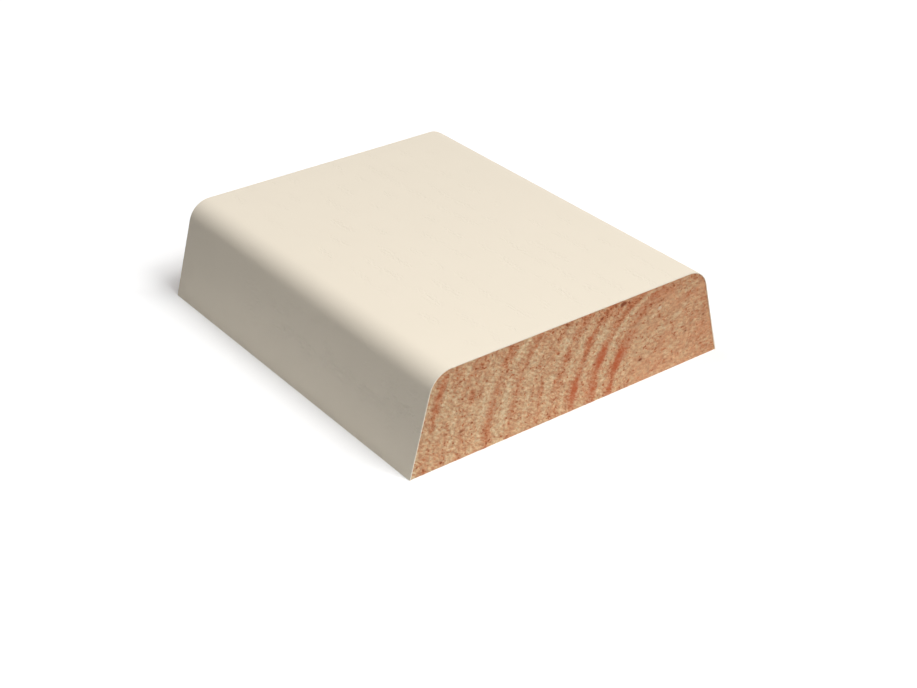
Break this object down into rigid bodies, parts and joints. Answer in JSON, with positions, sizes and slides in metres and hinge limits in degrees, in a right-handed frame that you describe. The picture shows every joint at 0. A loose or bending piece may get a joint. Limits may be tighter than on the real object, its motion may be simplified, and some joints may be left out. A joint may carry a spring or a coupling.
{
  "type": "bevelled trim strip",
  "caption": "Flat painted pine trim strip with both long edges bevelled and rounded into the face, square-cut to a short length; frames a door or window opening.",
  "frame": {"origin": "centre of the flat back, midway between the two cut ends", "axes": "+X across the strip, +Y along it, +Z out of the back towards the face"},
  "size_m": [0.045, 0.05, 0.012],
  "materials": {
    "painted_pine": "satin",
    "bare_pine": "matte"
  },
  "bodies": {
    "root": {"trim_strip": "painted_pine"}
  },
  "joints": []
}
